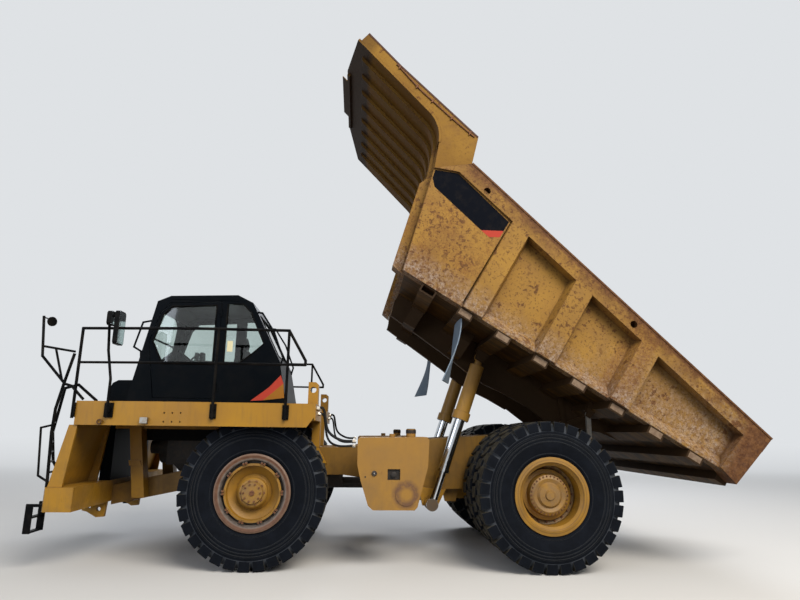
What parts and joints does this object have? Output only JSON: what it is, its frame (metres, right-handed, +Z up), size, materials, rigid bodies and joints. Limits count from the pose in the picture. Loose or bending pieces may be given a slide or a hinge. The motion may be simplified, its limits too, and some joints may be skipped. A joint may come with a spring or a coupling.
{
  "type": "rigid off-highway haul truck",
  "caption": "Two-axle rigid haul truck with a tipping bed held raised, cab canopy, twin rear tyres, steered front wheels and telescopic hoist cylinders.",
  "frame": {"origin": "on the ground under the middle of the truck's box at rest, with the bed raised", "axes": "+X forward along the truck, +Y to its left, +Z up"},
  "size_m": [10.6416, 4.73, 8.4864],
  "materials": {
    "yellow_paint": "satin, lightly weathered",
    "worn_yellow_paint": "faded with rust and dirt",
    "black_paint": "satin",
    "dark_trim": "matte",
    "window_glass": "clear",
    "grey_iron": "rough cast",
    "lamp_glass": "clear",
    "tyre_rubber": "matte, dusty",
    "flap_rubber": "dusty",
    "chrome_rod": "polished"
  },
  "bodies": {
    "chassis": {"frame_rails": "yellow_paint", "frame_brackets": "yellow_paint", "front_bumper": "yellow_paint", "front_panels": "yellow_paint", "platforms": "yellow_paint", "hood": "yellow_paint", "radiator_grille": "black_paint", "engine": "grey_iron", "cab_shell": "black_paint", "cab_glass": "window_glass", "cab_interior": "dark_trim", "side_tanks": "yellow_paint", "ladders": "black_paint", "handrails": "black_paint", "mirrors": "black_paint", "lamps": "lamp_glass", "air_cleaners": "yellow_paint", "suspension_struts": "yellow_paint", "rear_axle": "yellow_paint", "drive_shaft": "grey_iron"},
    "bed": {"bed_floor": "worn_yellow_paint", "bed_side_left": "worn_yellow_paint", "bed_side_right": "worn_yellow_paint", "bed_front_wall": "worn_yellow_paint", "canopy": "worn_yellow_paint", "mud_flaps": "flap_rubber"},
    "door": {"cab_door": "black_paint", "door_glass": "window_glass"},
    "barrel_left": {"hoist_barrel_left": "yellow_paint"},
    "stage_left": {"hoist_stage_left": "chrome_rod"},
    "rod_left": {"hoist_rod_left": "chrome_rod"},
    "steer_left": {"knuckle_left": "yellow_paint"},
    "wheel_front_left": {"rim_front_left": "yellow_paint", "tyre_front_left": "tyre_rubber"},
    "wheels_rear_left": {"rim_rear_left": "yellow_paint", "tyres_rear_left": "tyre_rubber"},
    "ejector_left": {"rock_ejector_left": "yellow_paint"},
    "barrel_right": {"hoist_barrel_right": "yellow_paint"},
    "stage_right": {"hoist_stage_right": "chrome_rod"},
    "rod_right": {"hoist_rod_right": "chrome_rod"},
    "steer_right": {"knuckle_right": "yellow_paint"},
    "wheel_front_right": {"rim_front_right": "yellow_paint", "tyre_front_right": "tyre_rubber"},
    "wheels_rear_right": {"rim_rear_right": "yellow_paint", "tyres_rear_right": "tyre_rubber"},
    "ejector_right": {"rock_ejector_right": "yellow_paint"}
  },
  "joints": [
    {"name": "bed_tilt", "type": "hinge", "parent": "chassis", "child": "bed", "pos_m": [-2.738, 0, 2.02], "axis": [0, 1, 0], "range_deg": [0, 39]},
    {"name": "door_hinge", "type": "hinge", "parent": "chassis", "child": "door", "pos_m": [2.922, 1.366, 3.1], "axis": [0, 0, 1], "range_deg": [0, 45]},
    {"name": "barrel_swing_left", "type": "hinge", "parent": "bed", "child": "barrel_left", "pos_m": [-1.29621, 0.9, 3.13744], "axis": [0, 1, 0], "range_deg": [-39.72, 0]},
    {"name": "stage_slide_left", "type": "slide", "parent": "barrel_left", "child": "stage_left", "axis": [-0.3261, 0, 0.9453], "range_m": [0, 0.8151]},
    {"name": "rod_slide_left", "type": "slide", "parent": "stage_left", "child": "rod_left", "axis": [-0.3261, 0, 0.9453], "range_m": [0, 0.4027]},
    {"name": "steer_left", "type": "hinge", "parent": "chassis", "child": "steer_left", "pos_m": [2.177, 0.985, 1.04], "axis": [0, 0, 1], "range_deg": [-31, 31]},
    {"name": "spin_front_left", "type": "hinge", "parent": "steer_left", "child": "wheel_front_left", "pos_m": [2.177, 1.602, 1.04], "axis": [0, 1, 0], "continuous": true},
    {"name": "spin_rear_left", "type": "hinge", "parent": "chassis", "child": "wheels_rear_left", "pos_m": [-2.038, 1.841, 1.04], "axis": [0, 1, 0], "continuous": true},
    {"name": "ejector_swing_left", "type": "hinge", "parent": "bed", "child": "ejector_left", "pos_m": [-2.88318, 1.464, 2.19804], "axis": [0, 1, 0], "range_deg": [-39, 0]},
    {"name": "barrel_swing_right", "type": "hinge", "parent": "bed", "child": "barrel_right", "pos_m": [-1.29621, -0.9, 3.13744], "axis": [0, 1, 0], "range_deg": [-39.72, 0]},
    {"name": "stage_slide_right", "type": "slide", "parent": "barrel_right", "child": "stage_right", "axis": [-0.3261, 0, 0.9453], "range_m": [0, 0.8151]},
    {"name": "rod_slide_right", "type": "slide", "parent": "stage_right", "child": "rod_right", "axis": [-0.3261, 0, 0.9453], "range_m": [0, 0.4027]},
    {"name": "steer_right", "type": "hinge", "parent": "chassis", "child": "steer_right", "pos_m": [2.177, -0.985, 1.04], "axis": [0, 0, 1], "range_deg": [-31, 31]},
    {"name": "spin_front_right", "type": "hinge", "parent": "steer_right", "child": "wheel_front_right", "pos_m": [2.177, -1.602, 1.04], "axis": [0, 1, 0], "continuous": true},
    {"name": "spin_rear_right", "type": "hinge", "parent": "chassis", "child": "wheels_rear_right", "pos_m": [-2.038, -1.841, 1.04], "axis": [0, 1, 0], "continuous": true},
    {"name": "ejector_swing_right", "type": "hinge", "parent": "bed", "child": "ejector_right", "pos_m": [-2.88318, -1.464, 2.19804], "axis": [0, 1, 0], "range_deg": [-39, 0]}
  ],
  "couplings": [
    {"joint": "barrel_swing_left", "follows": "bed_tilt", "ratio": -1.0185},
    {"joint": "stage_slide_left", "follows": "bed_tilt", "m_per_rad": 1.1973},
    {"joint": "rod_slide_left", "follows": "bed_tilt", "m_per_rad": 0.59147},
    {"joint": "ejector_swing_left", "follows": "bed_tilt", "ratio": -1},
    {"joint": "barrel_swing_right", "follows": "bed_tilt", "ratio": -1.0185},
    {"joint": "stage_slide_right", "follows": "bed_tilt", "m_per_rad": 1.1973},
    {"joint": "rod_slide_right", "follows": "bed_tilt", "m_per_rad": 0.59147},
    {"joint": "ejector_swing_right", "follows": "bed_tilt", "ratio": -1},
    {"joint": "steer_right", "follows": "steer_left", "ratio": 1}
  ]
}
